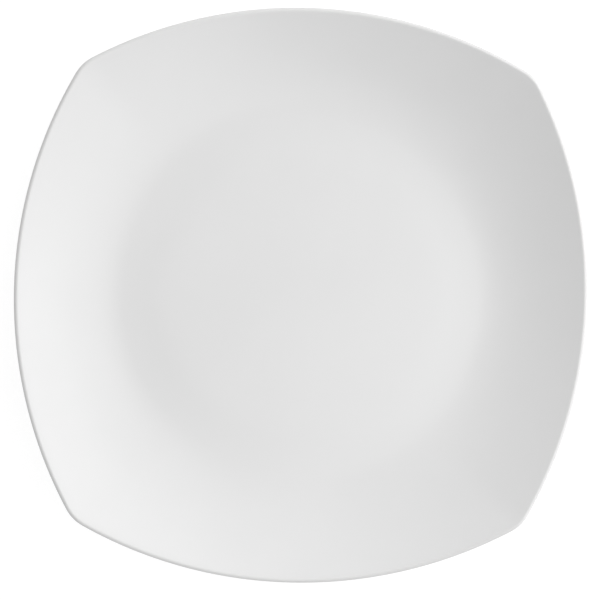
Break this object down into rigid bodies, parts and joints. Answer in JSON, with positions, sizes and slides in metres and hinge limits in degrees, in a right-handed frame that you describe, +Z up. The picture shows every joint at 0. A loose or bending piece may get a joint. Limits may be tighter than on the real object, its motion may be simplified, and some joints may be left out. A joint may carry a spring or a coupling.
{
  "type": "square salad plate",
  "caption": "Plain white square salad plate with bowed sides, rounded lifted corners, a round shallow well, a smoothly rising rim and a round foot ring; holds a single serving and stacks.",
  "frame": {"origin": "centre of the foot ring, on the plane that stands on the table", "axes": "+Z up out of the well; X and Y run through the middles of the sides, so the corners lie on the diagonals"},
  "size_m": [0.216, 0.216, 0.0235],
  "materials": {
    "bare_porcelain": "fired and unglazed, matte, wiped smooth; seen only on the foot ring",
    "white_glaze": "clear glaze over white porcelain, soft even gloss"
  },
  "bodies": {
    "root": {"porcelain_body": "bare_porcelain", "glaze_coat": "white_glaze", "foot_recess_glaze": "white_glaze"}
  },
  "joints": []
}
